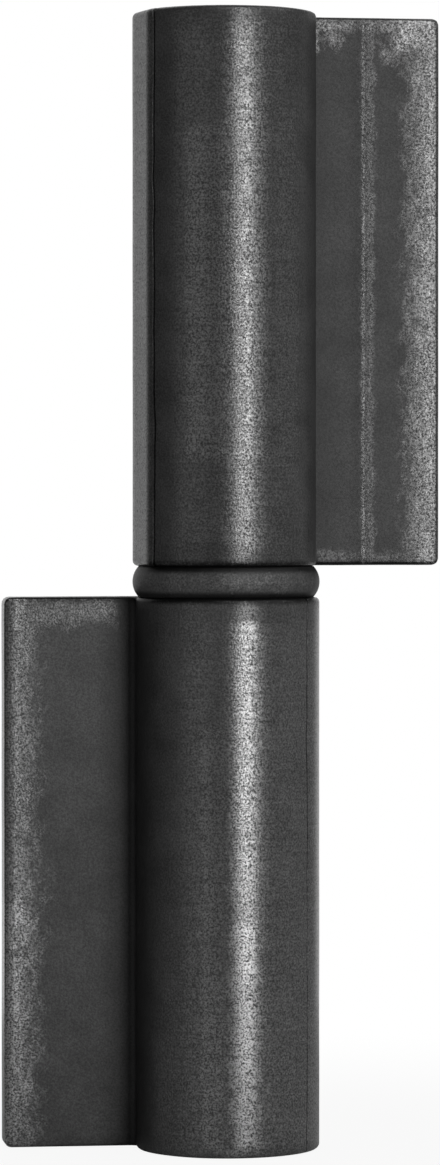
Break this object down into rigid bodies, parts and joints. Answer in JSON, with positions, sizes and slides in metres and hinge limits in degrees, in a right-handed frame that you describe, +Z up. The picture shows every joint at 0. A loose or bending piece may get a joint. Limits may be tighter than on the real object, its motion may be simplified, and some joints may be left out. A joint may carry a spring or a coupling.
{
  "type": "weld on barrel hinge",
  "caption": "Lift-off weld-on barrel hinge in raw steel: two offset leaves with closed knuckles turn on one fixed pin, over a loose thrust ring.",
  "frame": {"origin": "on the pin axis, at the foot of the lower knuckle", "axes": "+Z up along the pin, +X towards the upper leaf and -X towards the lower leaf, +Y towards the side that the leaves' weld faces look to"},
  "size_m": [0.0388, 0.0164, 0.1],
  "materials": {
    "lower_leaf_steel": "raw rolled steel, dark mill scale, tumbled and oiled, worn bright at the edges",
    "pin_steel": "drawn bar, lightly oiled",
    "ring_steel": "turned steel ring, darkened and oiled",
    "upper_leaf_steel": "raw rolled steel, dark mill scale, tumbled and oiled, worn bright at the edges"
  },
  "bodies": {
    "lower_half": {"lower_leaf": "lower_leaf_steel", "hinge_pin": "pin_steel"},
    "ring": {"thrust_ring": "ring_steel"},
    "upper_half": {"upper_leaf": "upper_leaf_steel"}
  },
  "joints": [
    {"name": "swing", "type": "hinge", "parent": "lower_half", "child": "ring", "pos_m": [0, 0, 0.05], "axis": [0, 0, 1], "continuous": true},
    {"name": "lift_off", "type": "slide", "parent": "ring", "child": "upper_half", "axis": [0, 0, 1], "range_m": [0, 0.05]}
  ]
}
